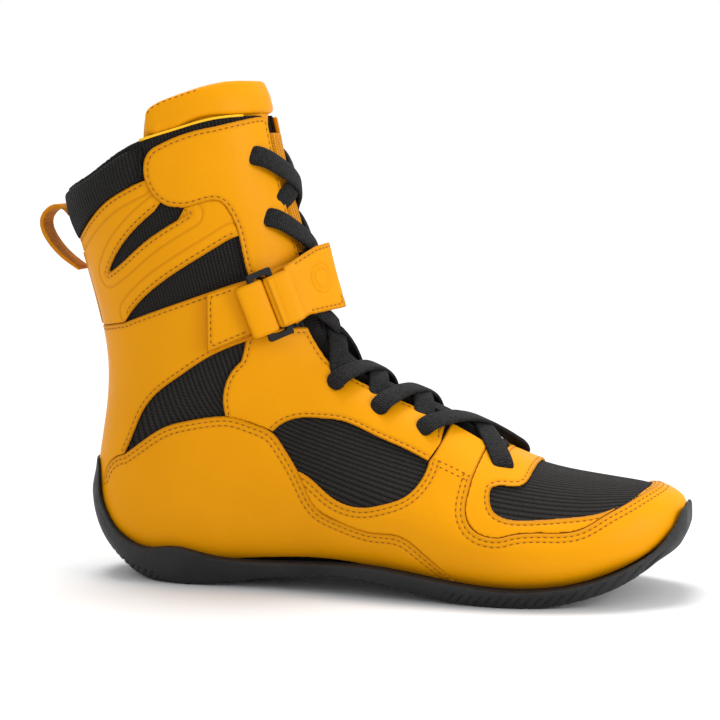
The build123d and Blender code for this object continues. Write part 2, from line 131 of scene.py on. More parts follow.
def edge_ends(mesh):
    ends = np.empty(len(mesh.edges) * 2, int)
    mesh.edges.foreach_get("vertices", ends)
    return ends.reshape(-1, 2)


def store(mesh, name, values):
    attribute = mesh.attributes.new(name, "FLOAT", "POINT")
    attribute.data.foreach_set("value", np.asarray(values, np.float32))


def spread(co, ends, share):
    """Every vertex moved towards the middle of its neighbours by that share, one number or one a vertex."""
    a, b = ends.T
    count = np.maximum(np.bincount(a, minlength=len(co)) + np.bincount(b, minlength=len(co)), 1)
    total = np.column_stack([
        np.bincount(a, co[b, k], len(co)) + np.bincount(b, co[a, k], len(co)) for k in range(co.shape[1])])
    return co + share * (total / count[:, None] - co)


def smoothed(mesh, rounds, keep_size=True):
    """Smooths a mesh in place; with keep_size each round is followed by one that puts the size back."""
    co, ends = coordinates(mesh), edge_ends(mesh)
    for _ in range(rounds):
        co = spread(co, ends, 0.5)
        if keep_size:
            co = spread(co, ends, -0.52)
    set_coordinates(mesh, co)


def new_object(name, mesh):
    obj = bpy.data.objects.new(name, mesh)
    bpy.context.scene.collection.objects.link(obj)
    mesh.shade_smooth()
    return obj


def mesh_from(name, points, faces):
    mesh = bpy.data.meshes.new(name)
    mesh.from_pydata([tuple(p) for p in points], [], [tuple(f) for f in faces])
    mesh.update()
    return mesh


def welded(node_names):
    """The CAD nodes' triangles in one bmesh, joined where they touch."""
    joined = bmesh.new()
    for name in node_names:
        joined.from_mesh(nodes[name].data)
    bmesh.ops.remove_doubles(joined, verts=joined.verts, dist=1e-6)
    return joined


def remeshed(name, source, voxel):
    """A closed mesh of small even faces over the shape of a bmesh."""
    mesh = bpy.data.meshes.new(name + "_rough")
    source.to_mesh(mesh)
    obj = bpy.data.objects.new(name + "_rough", mesh)
    bpy.context.scene.collection.objects.link(obj)
    even = obj.modifiers.new("even", "REMESH")
    even.mode = "VOXEL"
    even.voxel_size = voxel * MM
    even.use_smooth_shade = True
    view = bpy.context.evaluated_depsgraph_get()
    result = bpy.data.meshes.new_from_object(obj.evaluated_get(view))
    bpy.data.objects.remove(obj)
    bpy.data.meshes.remove(mesh)
    result.name = name
    result.materials.clear()
    return result


def dense(name, node_names, voxel, rounds=3, keep_size=True):
    """A fine even mesh over some CAD nodes, with its steps smoothed away."""
    source = welded(node_names)
    mesh = remeshed(name, source, voxel)
    source.free()
    smoothed(mesh, rounds, keep_size)
    return mesh


def tree_of(points):
    tree = KDTree(len(points))
    for i, p in enumerate(points):
        tree.insert(p, i)
    tree.balance()
    return tree


def distances(points, tree):
    """How far each point is from the nearest point of a tree, in metres."""
    return np.array([tree.find(p)[2] for p in points])


RIM_ANGLE = math.radians(38)
RIM_STEP = 0.4


def rim_points(node_names):
    """Points along the sharp edges of the CAD nodes, which are the rims of a panel."""
    source, found = welded(node_names), []
    for edge in source.edges:
        if len(edge.link_faces) != 2 or edge.calc_face_angle(0.0) < RIM_ANGLE:
            continue
        a, b = edge.verts[0].co, edge.verts[1].co
        count = max(1, int((b - a).length / (RIM_STEP * MM)))
        found += [np.array(a.lerp(b, k / count)) for k in range(count + 1)]
    source.free()
    return np.array(found)


def level_lines(mesh, co, normals, field, level, allowed):
    """The lines on a mesh where a vertex field passes a level: (points, normals) pairs from end to end."""
    ends = edge_ends(mesh)
    a, b = ends.T
    crosses = ((field[a] - level) * (field[b] - level) < 0) & allowed[a] & allowed[b]
    loop_edges = np.empty(len(mesh.loops), int)
    mesh.loops.foreach_get("edge_index", loop_edges)
    starts = np.empty(len(mesh.polygons), int)
    mesh.polygons.foreach_get("loop_start", starts)
    loop_crosses = crosses[loop_edges]
    two = np.add.reduceat(loop_crosses.astype(int), starts) == 2
    totals = np.empty(len(mesh.polygons), int)
    mesh.polygons.foreach_get("loop_total", totals)
    links = {}
    for start, total in zip(starts[two], totals[two]):
        loops = range(start, start + total)
        first, second = [int(loop_edges[i]) for i in loops if loop_crosses[i]]
        links.setdefault(first, []).append(second)
        links.setdefault(second, []).append(first)
    share = (level - field[a]) / np.where(crosses, field[b] - field[a], 1.0)
    lines, seen = [], set()
    for edge in sorted(links, key=lambda e: (len(links[e]), e)):
        if edge in seen:
            continue
        chain = [edge]
        seen.add(edge)
        while True:
            onward = [e for e in links[chain[-1]] if e not in seen]
            if not onward:
                break
            chain.append(onward[0])
            seen.add(onward[0])
        closed = len(chain) > 3 and edge in links[chain[-1]]
        if closed:
            chain.append(edge)
        index = np.array(chain)
        weight = share[index][:, None]
        points = co[a[index]] * (1 - weight) + co[b[index]] * weight
        facing = normals[a[index]] * (1 - weight) + normals[b[index]] * weight
        lines.append((points, facing))
    return lines


def even_line(points, facing, step):
    """A line's points and normals, smoothed and spaced evenly at the step."""
    for _ in range(6):
        points[1:-1] = (points[:-2] + 2 * points[1:-1] + points[2:]) / 4
        facing[1:-1] = (facing[:-2] + 2 * facing[1:-1] + facing[2:]) / 4
    run = np.concatenate([[0], np.cumsum(np.linalg.norm(np.diff(points, axis=0), axis=1))])
    places = np.arange(step / 2, run[-1] - step / 4, step)
    if len(places) < 3:
        return None
    spaced = np.column_stack([np.interp(places, run, points[:, k]) for k in range(3)])
    turned = np.column_stack([np.interp(places, run, facing[:, k]) for k in range(3)])
    ways = np.gradient(spaced, axis=0)
    ways /= np.linalg.norm(ways, axis=1)[:, None]
    turned -= ways * (turned * ways).sum(1)[:, None]
    turned /= np.maximum(np.linalg.norm(turned, axis=1), 1e-9)[:, None]
    return spaced, ways, turned


# ---------------------------------------------------------------- materials
class Finish:
    """A material under construction: a Principled shader and the nodes that feed it."""

    def __init__(self, name, roughness, specular=0.5, sheen=0.0, coat=0.0, coat_roughness=0.3):
        self.material = bpy.data.materials.new(name)
        self.material.use_nodes = True
        self.tree = self.material.node_tree
        self.shader = self.tree.nodes["Principled BSDF"]
        self.shader.inputs["Roughness"].default_value = roughness
        self.shader.inputs["Specular IOR Level"].default_value = specular
        self.shader.inputs["Sheen Weight"].default_value = sheen
        self.shader.inputs["Sheen Roughness"].default_value = 0.5
        self.shader.inputs["Coat Weight"].default_value = coat
        self.shader.inputs["Coat Roughness"].default_value = coat_roughness
        self.place = self.tree.nodes.new("ShaderNodeTexCoord").outputs["Object"]

    def put(self, socket, value):
        if isinstance(value, bpy.types.NodeSocket):
            self.tree.links.new(value, socket)
        elif value is not None:
            socket.default_value = value

    def math(self, operation, first, second=None, third=None):
        node = self.tree.nodes.new("ShaderNodeMath")
        node.operation = operation
        for socket, value in zip(node.inputs, (first, second, third)):
            self.put(socket, value)
        return node.outputs[0]

    def value(self, attribute):
        node = self.tree.nodes.new("ShaderNodeAttribute")
        node.attribute_name = attribute
        return node.outputs["Fac"]

    def noise(self, scale, detail=3.0, rough=0.55):
        node = self.tree.nodes.new("ShaderNodeTexNoise")
        self.put(node.inputs["Vector"], self.place)
        self.put(node.inputs["Scale"], scale)
        self.put(node.inputs["Detail"], detail)
        self.put(node.inputs["Roughness"], rough)
        return node.outputs[0]

    def cells(self, scale):
        node = self.tree.nodes.new("ShaderNodeTexVoronoi")
        self.put(node.inputs["Vector"], self.place)
        self.put(node.inputs["Scale"], scale)
        return node.outputs["Distance"]

    def between(self, value, low, high, to_low, to_high):
        node = self.tree.nodes.new("ShaderNodeMapRange")
        for socket, number in zip(node.inputs, (value, low, high, to_low, to_high)):
            self.put(socket, number)
        return node.outputs[0]

    def mix(self, share, first, second):
        node = self.tree.nodes.new("ShaderNodeMix")
        node.data_type = "RGBA"
        self.put(node.inputs[0], share)
        for socket, value in ((node.inputs[6], first), (node.inputs[7], second)):
            self.put(socket, (*value, 1.0) if isinstance(value, tuple) else value)
        return node.outputs[2]

    def color(self, value):
        self.put(self.shader.inputs["Base Color"], value)

    def rough(self, value):
        self.put(self.shader.inputs["Roughness"], value)

    def bump(self, height, distance, strength=1.0, under=None):
        node = self.tree.nodes.new("ShaderNodeBump")
        self.put(node.inputs["Height"], height)
        self.put(node.inputs["Distance"], distance)
        self.put(node.inputs["Strength"], strength)
        if under is not None:
            self.put(node.inputs["Normal"], under)
        self.put(self.shader.inputs["Normal"], node.outputs[0])
        return node.outputs[0]


def leather_finish(name, color, dark, worn):
    """Smooth coated leather: fine grain, darker cut edges, painted shade in the stitch grooves and embossed
    lines, slightly worn high spots.
    """
    finish = Finish(name, 0.42, specular=0.07)
    blotches = finish.between(finish.noise(28, 4), 0.3, 0.7, 0.0, 1.0)
    base = finish.mix(finish.math("MULTIPLY", blotches, 0.5), color, worn)
    # The shade attribute mixes in the dark colour: at cut edges it is the edges' own darker colour, in
    # stitch grooves and embossed lines it is painted shade.
    base = finish.mix(finish.math("MULTIPLY", finish.value("shade"), 0.8), base, dark)
    finish.color(base)
    finish.rough(finish.between(finish.noise(120, 5), 0.3, 0.7, 0.36, 0.5))
    grain = finish.math("ADD", finish.cells(1300), finish.math("MULTIPLY", finish.noise(2600, 2), 0.6))
    wrinkles = finish.bump(finish.noise(160, 5, 0.6), 0.0003, 0.5)
    finish.bump(grain, 0.00006, 0.55, wrinkles)
    return finish.material


def knit_finish(name, dark, light, pitch):
    """Ribbed woven mesh: ribs along the boot with a fine slanted weave between them, coloured lighter on the
    crowns as painted highlight and darker in the hollows as painted shade.
    """
    finish = Finish(name, 0.8, specular=0.12, sheen=0.02)
    across, along = finish.value("across"), finish.value("along")
    rib = finish.math("ABSOLUTE", finish.math("SINE", finish.math("MULTIPLY", across, math.pi / pitch)))
    slant = finish.math("ADD", finish.math("MULTIPLY", along, 4.4), finish.math("MULTIPLY", across, 2.4))
    weave = finish.math("MULTIPLY_ADD", finish.math("SINE", slant), 0.5, 0.5)
    height = finish.math("ADD", rib, finish.math("MULTIPLY", weave, 0.45))
    # Painted highlight and shade: the colour goes from dark in the hollows to light on the rib and weave
    # crowns.
    crown_highlight_share = finish.between(height, 0.35, 1.4, 0.0, 1.0)
    speckle = finish.between(finish.noise(900, 2), 0.35, 0.65, 0.6, 1.0)
    finish.color(finish.mix(finish.math("MULTIPLY", crown_highlight_share, speckle), dark, light))
    finish.bump(height, 0.0005, 0.8)
    return finish.material


def ribbon_finish(name, dark, light, pitch):
    """Flat woven ribbon: two slanted rows of threads that meet along its middle, coloured lighter on the
    threads' crowns as painted highlight and darker between them as painted shade.
    """
    finish = Finish(name, 0.75, specular=0.15, sheen=0.02)
    across, along = finish.value("across"), finish.value("along")
    folded = finish.math("ABSOLUTE", finish.math("SINE", finish.math("MULTIPLY", across, math.pi / 2.0)))
    slant = finish.math("ADD", finish.math("MULTIPLY", along, 2 * math.pi / pitch),
                        finish.math("MULTIPLY", folded, 3.0))
    thread = finish.math("MULTIPLY_ADD", finish.math("SINE", slant), 0.5, 0.5)
    speckle = finish.between(finish.noise(700, 3), 0.3, 0.7, 0.0, 1.0)
    # Painted highlight and shade: the colour follows the thread height, light on the crowns and dark between
    # them.
    finish.color(finish.mix(finish.math("MULTIPLY", thread, speckle), dark, light))
    finish.bump(thread, 0.00035, 0.8)
    return finish.material


def grainy_finish(name, dark, light, roughness, scale, depth, specular=0.4, sheen=0.0):
    """A matt surface with a fine grain and slightly uneven colour, for rubber, plastic, board and thread."""
    finish = Finish(name, roughness, specular=specular, sheen=sheen)
    finish.color(finish.mix(finish.between(finish.noise(45, 5), 0.3, 0.7, 0.0, 1.0), dark, light))
    finish.rough(finish.between(finish.noise(scale / 4, 3), 0.3, 0.7, roughness - 0.07, roughness + 0.07))
    finish.bump(finish.noise(scale, 3), depth, 0.6)
    return finish.material


YELLOW, YELLOW_DARK, YELLOW_WORN = (0.64, 0.252, 0.0002), (0.25, 0.075, 0.0002), (0.70, 0.285, 0.001)
leather = leather_finish("coated_leather", YELLOW, YELLOW_DARK, YELLOW_WORN)
# Each knit's light colour is the painted highlight on its crowns, its dark colour the painted shade in its
# hollows.
mesh_knit = knit_finish("ribbed_mesh", (0.0035, 0.0032, 0.003), (0.026, 0.024, 0.022), 2.3)
fine_knit = knit_finish("fine_mesh", (0.0035, 0.0032, 0.003), (0.021, 0.019, 0.018), 1.5)
yellow_knit = knit_finish("yellow_mesh", (0.36, 0.12, 0.0004), (0.70, 0.28, 0.001), 1.6)
lining_knit = knit_finish("knitted_lining", (0.005, 0.005, 0.0055), (0.018, 0.018, 0.019), 1.2)
# Each ribbon's light colour is the painted highlight on its thread crowns, its dark colour the painted shade
# between threads.
lace_weave = ribbon_finish("woven_lace", (0.0028, 0.0027, 0.0028), (0.032, 0.030, 0.029), 1.1)
web_weave = ribbon_finish("twill_webbing", (0.50, 0.165, 0.001), (0.80, 0.30, 0.003), 1.3)
rubber = grainy_finish(
    "moulded_rubber", (0.015, 0.015, 0.0152), (0.024, 0.024, 0.0245), 0.6, 900, 0.00008, 0.2)
plastic = grainy_finish(
    "satin_plastic", (0.003, 0.003, 0.0032), (0.005, 0.005, 0.0055), 0.45, 1400, 0.00004, 0.2)
board = grainy_finish("fibre_board", (0.10, 0.09, 0.08), (0.17, 0.15, 0.13), 0.8, 500, 0.0002)
foam_cloth = grainy_finish(
    "footbed_cloth", (0.008, 0.008, 0.009), (0.02, 0.02, 0.022), 0.85, 1500, 0.0003, 0.2, 0.05)
pile = grainy_finish(
    "hook_and_loop_pile", (0.005, 0.005, 0.0055), (0.02, 0.02, 0.021), 0.9, 1800, 0.0008, 0.2, 0.1)
thread = grainy_finish("brown_thread", (0.16, 0.050, 0.002), (0.25, 0.085, 0.004), 0.6, 1500, 0.00005, 0.2)
piping_cloth = grainy_finish(
    "bright_piping", (0.78, 0.40, 0.004), (0.88, 0.50, 0.02), 0.5, 900, 0.00008, 0.2)

# ---------------------------------------------------------------- how pieces move
ANKLE_LOW, ANKLE_HIGH = at(-15.6, 0, 79.4), at(-21, 0, 115)
TOE_LOW, TOE_HIGH = at(42, 0, 20), at(98, 0, 20)
TIP_LOW, TIP_HIGH = at(-60, 0, 213), at(-60, 0, 227)
LOOP_LOW, LOOP_HIGH = at(-153.7, 0, 160.1), at(-164.5, 0, 158)
MOVES = {
    "ankle": ("foot", "shaft", ANKLE_LOW, ANKLE_HIGH),
    "toes": ("foot", "forefoot", TOE_LOW, TOE_HIGH),
    "tip": ("shaft", "tongue_tip", TIP_LOW, TIP_HIGH),
    "loop": ("shaft", "pull", LOOP_LOW, LOOP_HIGH),
}


def settle(obj, moves, material, replaced=()):
    """Gives a piece its finish and hides the CAD nodes it replaces; a piece listed in MOVES has its
    placement baked into its mesh, any other is attached to one body.
    """
    obj.data.materials.clear()
    obj.data.materials.append(material)
    if replaced:
        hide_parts(*replaced)
    if moves in MOVES:
        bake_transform(obj)
    else:
        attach(obj, moves)
    return obj


# ---------------------------------------------------------------- stitches
STITCH_LENGTH, STITCH_STEP, STITCH_RADIUS = 1.65, 3.0, 0.3


def stitch_shape():
    """One stitch lying along X: a short rounded bead of thread, lower than it is wide."""
    shape = bmesh.new()
    bmesh.ops.create_uvsphere(shape, u_segments=8, v_segments=5, radius=1.0)
    points = np.array([v.co for v in shape.verts])[:, [2, 0, 1]]
    faces = [[v.index for v in f.verts] for f in shape.faces]
    shape.free()
    return points * np.array([STITCH_LENGTH / 2, STITCH_RADIUS, STITCH_RADIUS * 0.8]) * MM, faces


stitch_points, stitch_faces = stitch_shape()


def stitch_mesh(name, lines):
    """One mesh of all the stitches along the lines, each a (points, normals) pair."""
    points, faces = [], []
    for line, facing in lines:
        spaced = even_line(line.copy(), facing.copy(), STITCH_STEP * MM)
        if spaced is None:
            continue
        for place, way, out in zip(*spaced):
            side = np.cross(out, way)
            first = len(points) * len(stitch_points)
            points.append(place + stitch_points @ np.array([way, side, out]))
            faces += [[first + i for i in face] for face in stitch_faces]
    return mesh_from(name, np.vstack(points), faces) if points else None


# ---------------------------------------------------------------- leather panels
EDGE_ROUND, EDGE_DROP = 1.1, 0.5
GROOVE_DEPTH, GROOVE_HALF = 0.24, 0.75
FIRST_ROW, SECOND_ROW = 2.0, 4.2
COVER_GAP, SOLE_GAP = 1.3, 4.5
STRIPE_GAP, STRIPE_EASE = 3.2, 6.0

# Each panel: its CAD nodes, how it moves, how far it stands up, its stitch rows, its embossed lines, and the
# panels that lie over its edges. Rows and lines are distances from its rim in mm.
PANELS = {
    "counter": (("counter_outer", "counter_inner"), "ankle", 0.75, (FIRST_ROW, SECOND_ROW), (), ()),
    "side_guard": (("mudguard",), "toes", 0.5, (FIRST_ROW, SECOND_ROW), (), ("counter",)),
    "ankle_band": (("ankle_panel",), "ankle", 0.35, (FIRST_ROW,), (), ("counter",)),
    "quarters": (("quarter_outer", "quarter_inner"), "ankle", 0.1, (FIRST_ROW,), (),
                 ("counter", "side_guard", "ankle_band")),
    "toe_surround": (("toe_frame",), "toes", 0.0, (FIRST_ROW,), (), ("side_guard",)),
    "wings": (("wing_outer", "wing_inner"), "shaft", 0.55, (FIRST_ROW,), (), ()),
    "back_stripes": (("back_panel",), "shaft", 0.05, (FIRST_ROW,), (6.6,), ("wings", "ankle_band")),
}
LEATHER_VOXEL = 0.55

outsole = dense("outsole", ["outsole_heel", "outsole_forefoot"], 0.8, 3)
outsole_tree = tree_of(coordinates(outsole))
panel_meshes = {name: dense(name, facts[0], LEATHER_VOXEL) for name, facts in PANELS.items()}
panel_trees = {name: tree_of(coordinates(mesh)) for name, mesh in panel_meshes.items()}


def rim_distance(co, wanted, rim, covers):
    """Each wanted vertex's distance in mm from the nearest rim point that nothing covers."""
    for cover, gap in covers:
        rim = rim[distances(rim, cover) > gap * MM]
    far = np.full(len(co), 50.0)
    if len(rim):
        far[wanted] = distances(co[wanted], tree_of(rim)) / MM
    return far


def ease(value, low, high):
    t = np.clip((value - low) / (high - low), 0, 1)
    return t * t * (3 - 2 * t)


# The ring's middle, and its directions along its long bars, across them and out of the boot.
ring_co = np.array([v.co for v in nodes["ring"].data.vertices])
ring_middle = (ring_co.max(0) + ring_co.min(0)) / 2
ring_long, ring_side, ring_out = np.linalg.svd(ring_co - ring_co.mean(0), full_matrices=False)[2]
ring_out = ring_out * np.sign((ring_out * around(ring_middle[None])[0][0]).sum())
ring_side = -ring_side * np.sign(ring_side[0])

# How far from the ring's middle each piece has no stitches, in mm.
RING_REACH = {"instep_strap": 13.5, "ring_holder": 13.5, "strap_end": 19.0}
# The stem is the side guard's part that rises to the laces: its two ends in X, and the Z that it starts at.
STEM = (30, 57, 66)
STEM_SLOPE = 0.42
STEM_ROWS = (0.0, 2.3)
# The quarters' top edge runs on under the strap, along the slope of the shaft.
QUARTER_RISE, SHAFT_SLOPE = 5.5, (-0.42, 0.0, 0.91)


def dress_leather(name, mesh, node_names, moves, lift, rows, lines, covers):
    """Shapes a panel's outer side by the distance from its rim, darkens its cut edges, paints shade into its
    grooves, and adds its stitches.
    """
    co = coordinates(mesh)
    place = (co - origin) / MM
    normals = vertex_normals(mesh)
    out, along, across = around(co)
    facing = (normals * out).sum(1)
    outer = facing > 0.25
    reach = rim_distance(co, outer, rim_points(node_names), covers)
    slope = place[:, 2] - STEM[2] + (place[:, 0] - STEM[0]) * STEM_SLOPE
    on_stem = (place[:, 0] > STEM[0]) & (place[:, 0] < STEM[1]) & (slope > 0)
    near_ring = np.abs((co - ring_middle) @ ring_side) < RING_REACH.get(name, 0) * MM
    plain = (on_stem & (name == "side_guard")) | near_ring
    sewn_reach = np.where(plain, 50.0, reach)
    height = np.full(len(co), lift)
    height -= EDGE_DROP * np.clip(1 - reach / EDGE_ROUND, 0, 1) ** 2
    shade = 0.8 * np.exp(-(reach / 0.8) ** 2)
    # Painted shade: the stitch grooves and embossed lines below are darkened in colour as well as sunk.
    for row in rows:
        groove = np.exp(-((sewn_reach - row) / GROOVE_HALF) ** 2)
        height -= GROOVE_DEPTH * groove
        shade += 0.28 * groove
    height += 0.14 * np.exp(-((reach - (rows[0] if rows else 2.0) / 2) / 0.6) ** 2)
    for line in lines:
        groove = np.exp(-((reach - line) / 0.55) ** 2)
        height -= 0.4 * groove
        shade += 0.35 * groove
    waves = np.sin(along / 9.0 + across / 23.0) * np.sin(across / 11.0 - along / 31.0)
    height += 0.12 * waves * ease(reach, 4, 14)
    set_coordinates(mesh, co + normals * (height * ease(facing, 0.25, 0.7))[:, None] * MM)
    store(mesh, "shade", np.where(outer, np.clip(shade, 0, 1), 0.15))
    if name == "quarters":
        rise = QUARTER_RISE * ease(place[:, 2], 107, 118) * ease(-place[:, 0], 16, 24)
        set_coordinates(mesh, coordinates(mesh) + np.outer(rise, SHAFT_SLOPE) * MM)
    obj = settle(new_object(name, mesh), moves, leather, node_names)
    co, normals = coordinates(mesh), vertex_normals(mesh)
    sewn = []
    for row in rows:
        sewn += level_lines(mesh, co, normals, sewn_reach, row, outer & (facing > 0.5))
    if name == "side_guard":
        inside = outer & (facing > 0.5) & (reach > 1.5)
        inside &= (place[:, 0] > STEM[0] + 3) & (place[:, 0] < STEM[1])
        for row in STEM_ROWS:
            sewn += level_lines(mesh, co, normals, -slope, row, inside)
    stitches = stitch_mesh("stitches_" + name, sewn)
    if stitches is not None:
        settle(new_object("stitches_" + name, stitches), moves, thread)
    return obj


# The stripes' front ends are drawn on until they meet the wings that lie over them.
co = coordinates(panel_meshes["back_stripes"])
met = np.array([panel_trees["wings"].find(p)[0] for p in co])
pull = 1 - ease(np.linalg.norm(met - co, axis=1) / MM, STRIPE_GAP, STRIPE_EASE)
set_coordinates(panel_meshes["back_stripes"], co + (met - co) * pull[:, None])

for name, (node_names, moves, lift, rows, lines, over) in PANELS.items():
    cover_gap = STRIPE_GAP if name == "back_stripes" else COVER_GAP
    covers = [(outsole_tree, SOLE_GAP)] + [(panel_trees[other], cover_gap) for other in over]
    dress_leather(name, panel_meshes[name], node_names, moves, lift, rows, lines, covers)

for name, node_names, moves, lift in (
        ("instep_strap", ("strap",), "shaft", 0.0),
        ("strap_end", ("strap_tail",), "tail", 0.1),
        ("ring_holder", ("ring_tab",), "shaft", 0.0)):
    dress_leather(name, dense(name, node_names, 0.5), node_names, moves, lift, (FIRST_ROW,), (), [])

MARK_MIDDLE, MARK_RADII, MARK_DEPTH = (-15.0, -17.5, 149.0), (4.6, 7.0), 0.6
strap_end = bpy.data.objects["strap_end"].data
co = coordinates(strap_end)
centre = co[distances(co, tree_of([at(*MARK_MIDDLE)])).argmin()]
from_mark = np.linalg.norm(co - centre, axis=1) / MM
pressed = MARK_DEPTH * sum(np.exp(-((from_mark - radius) / 0.6) ** 2) for radius in MARK_RADII)
pressed *= ease((vertex_normals(strap_end) * around(co)[0]).sum(1), 0.3, 0.7)
set_coordinates(strap_end, co - vertex_normals(strap_end) * pressed[:, None] * MM)


# ---------------------------------------------------------------- knitted bootie, lining and tongue
def cut_at(mesh, x, keep_front):
    """Cuts a closed mesh across at a design X, keeps one side and closes the cut."""
    shape = bmesh.new()
    shape.from_mesh(mesh)
    everything = shape.verts[:] + shape.edges[:] + shape.faces[:]
    cut = bmesh.ops.bisect_plane(
        shape, geom=everything, plane_co=at(x, 0, 0), plane_no=(1, 0, 0),
        clear_inner=keep_front, clear_outer=not keep_front)
    edges = [e for e in cut["geom_cut"] if isinstance(e, bmesh.types.BMEdge)]
    bmesh.ops.holes_fill(shape, edges=edges, sides=0)
    shape.to_mesh(mesh)
    shape.free()
    return mesh


def dress_knit(name, mesh, moves, material, replaced=()):
    out, along, across = around(coordinates(mesh))
    store(mesh, "along", along)
    store(mesh, "across", across)
    return settle(new_object(name, mesh), moves, material, replaced)


SPLIT = 33.0
MESH_NODES = ("vamp_mesh", "toe_mesh", "shaft_mesh")
LINING_NODES = ("vamp_lining", "toe_lining", "shaft_lining")
TONGUE_NODES = ("tongue_shaft", "tongue_vamp", "tongue_face_shaft", "tongue_face_vamp")
knit_whole = dense("bootie", MESH_NODES, 0.7, 3)
lining_whole = dense("lining", LINING_NODES + ("heel_stiffener",), 0.9, 3)
tongue_whole = dense("tongue", TONGUE_NODES, 0.8, 4)
for name, whole, material, slot_name, rear_nodes, front_nodes in (
        ("bootie", knit_whole, mesh_knit, "black_mesh", ("vamp_mesh", "shaft_mesh"), ("toe_mesh",)),
        ("lining", lining_whole, lining_knit, "black_lining",
         ("vamp_lining", "shaft_lining", "heel_stiffener"), ("toe_lining",)),
        ("tongue", tongue_whole, mesh_knit, "black_mesh", TONGUE_NODES, ())):
    front = cut_at(whole.copy(), SPLIT, True)
    front.name = name + "_front"
    rear = cut_at(whole, SPLIT, False)
    dress_knit(name + "_front", front, "toes", material, front_nodes)
    rear_piece = dress_knit(name + "_rear", rear, "ankle", material, rear_nodes)
    if name != "lining":
        centres = np.empty(len(rear.polygons) * 3)
        rear.polygons.foreach_get("center", centres)
        centres = (centres.reshape(-1, 3) - origin) / MM
        if name == "bootie":
            rear_piece.data.materials.append(fine_knit)
            second = centres[:, 2] > 0.4 * centres[:, 0] + 140
        else:
            rear_piece.data.materials.append(yellow_knit)
            second = (centres[:, 2] > 158) & (np.abs(centres[:, 1]) < 9)
        rear.polygons.foreach_set("material_index", second.astype(np.int32))

# The collar's padding, and how far its front ends sink under the wings.
COLLAR_PUFF, COLLAR_SINK = 1.5, 2.1
collar = dense("collar_band_knit", ("collar_band",), 0.6, 4)
co, normals = coordinates(collar), vertex_normals(collar)
facing = (normals * around(co)[0]).sum(1)
reach = rim_distance(co, facing > 0.2, rim_points(("collar_band",)), [(panel_trees["wings"], COVER_GAP)])
swell = COLLAR_PUFF * np.sqrt(ease(reach, -1.0, 9)) * ease(facing, 0.2, 0.7)
swell -= 0.5 * np.clip(1 - reach / 1.5, 0, 1) ** 2
front_end = 1 - ease((origin[0] - co[:, 0]) / MM, 105, 115)
place = (co - origin) / MM
by_loop = ease(-place[:, 0], 136, 150) * (1 - ease(np.abs(place[:, 1]), 9, 17))
swell = swell * (1 - front_end) * (1 - by_loop) - COLLAR_SINK * front_end * ease(facing, 0.2, 0.7)
set_coordinates(collar, co + normals * swell[:, None] * MM)
collar_piece = dress_knit("collar_band_knit", collar, "shaft", fine_knit, ("collar_band",))

# ---------------------------------------------------------------- padded tongue top
PAD_NODES = ("tongue_top", "tongue_front_pad")
tongue_pad = dense("tongue_pad", PAD_NODES, 0.8, 10, keep_size=False)
co, normals = coordinates(tongue_pad), vertex_normals(tongue_pad)
out, along, across = around(co)
facing = (normals * out).sum(1)
TONGUE_PUFF, PAD_HANG = 1.2, 6.0
rim = rim_points(("tongue_top",))
reach = distances(co, tree_of(rim)) / MM
height = TONGUE_PUFF * ease(reach, 0.5, 9) * ease(facing, -0.2, 0.6) + 0.4
set_coordinates(tongue_pad, co + normals * height[:, None] * MM)
store(tongue_pad, "shade", np.where(facing > 0, 0.4 * np.exp(-(reach / 1.2) ** 2), 0.2))
pad_co, pad_normals = coordinates(tongue_pad), vertex_normals(tongue_pad)
pad_place = (pad_co - origin) / MM
hang = PAD_HANG * ease(-pad_place[:, 0], 78, 100) * ease(224 - pad_place[:, 2], 0, 8)
pad_co[:, 2] -= hang * MM
set_coordinates(tongue_pad, pad_co)
pad_stitches = stitch_mesh("stitches_tongue_pad", level_lines(
    tongue_pad, pad_co, pad_normals, reach, 3.0, (facing > 0.6) & (pad_place[:, 0] < -80)))
if pad_stitches is not None:
    settle(new_object("stitches_tongue_pad", pad_stitches), "tip", thread)
pad_piece = settle(new_object("tongue_pad", tongue_pad), "tip", leather, PAD_NODES)

# ---------------------------------------------------------------- sole, footbed, ring, webbing and patches
SLASH_STEP, SLASH_DEPTH = 4.4, 0.9
TREAD_STEP, TREAD_DEPTH = 6.5, 0.8
LIP_ROUNDS, LIP_SHARE = 14, 0.6
co, normals = coordinates(outsole), vertex_normals(outsole)
place = (co - origin) / MM
toe_lip = (LIP_SHARE * ease(place[:, 2], 33, 38) * ease(place[:, 0], 122, 130))[:, None]
for _ in range(LIP_ROUNDS):
    co = spread(co, edge_ends(outsole), toe_lip)
co[:, 0] += 1.6 * ease(place[:, 2], 40, 54) * ease(-place[:, 0], 126, 134) * MM
bins = np.clip(((place[:, 0] + 150) / 3).astype(int), 0, 99)
ground = np.full(100, 1e9)
np.minimum.at(ground, bins, place[:, 2])
above = place[:, 2] - ground[bins]
slant = (place[:, 0] - 0.9 * place[:, 2]) / SLASH_STEP
slash = ease(np.cos(2 * math.pi * slant), 0.35, 0.8)
front_part = ease(place[:, 0], 34, 44) * (1 - ease(place[:, 0], 132, 138))
heel_part = 1 - ease(place[:, 0], -108, -98)
sideways = ease(np.hypot(normals[:, 0], normals[:, 1]), 0.45, 0.8)
band = ease(above, 0.6, 1.8) * (1 - ease(above, 5.0, 6.4))
cut_in = SLASH_DEPTH * slash * sideways * band * np.maximum(front_part, heel_part)
zigzag = np.abs((place[:, 1] / 9.0) % 2 - 1) * 5.0
tread = ease(np.cos(2 * math.pi * (place[:, 0] + zigzag) / TREAD_STEP), 0.5, 0.85)
cut_in += TREAD_DEPTH * tread * ease(-normals[:, 2], 0.85, 0.97)
set_coordinates(outsole, co - normals * cut_in[:, None] * MM)
settle(new_object("outsole", outsole), "toes", rubber, ("outsole_heel", "outsole_forefoot"))

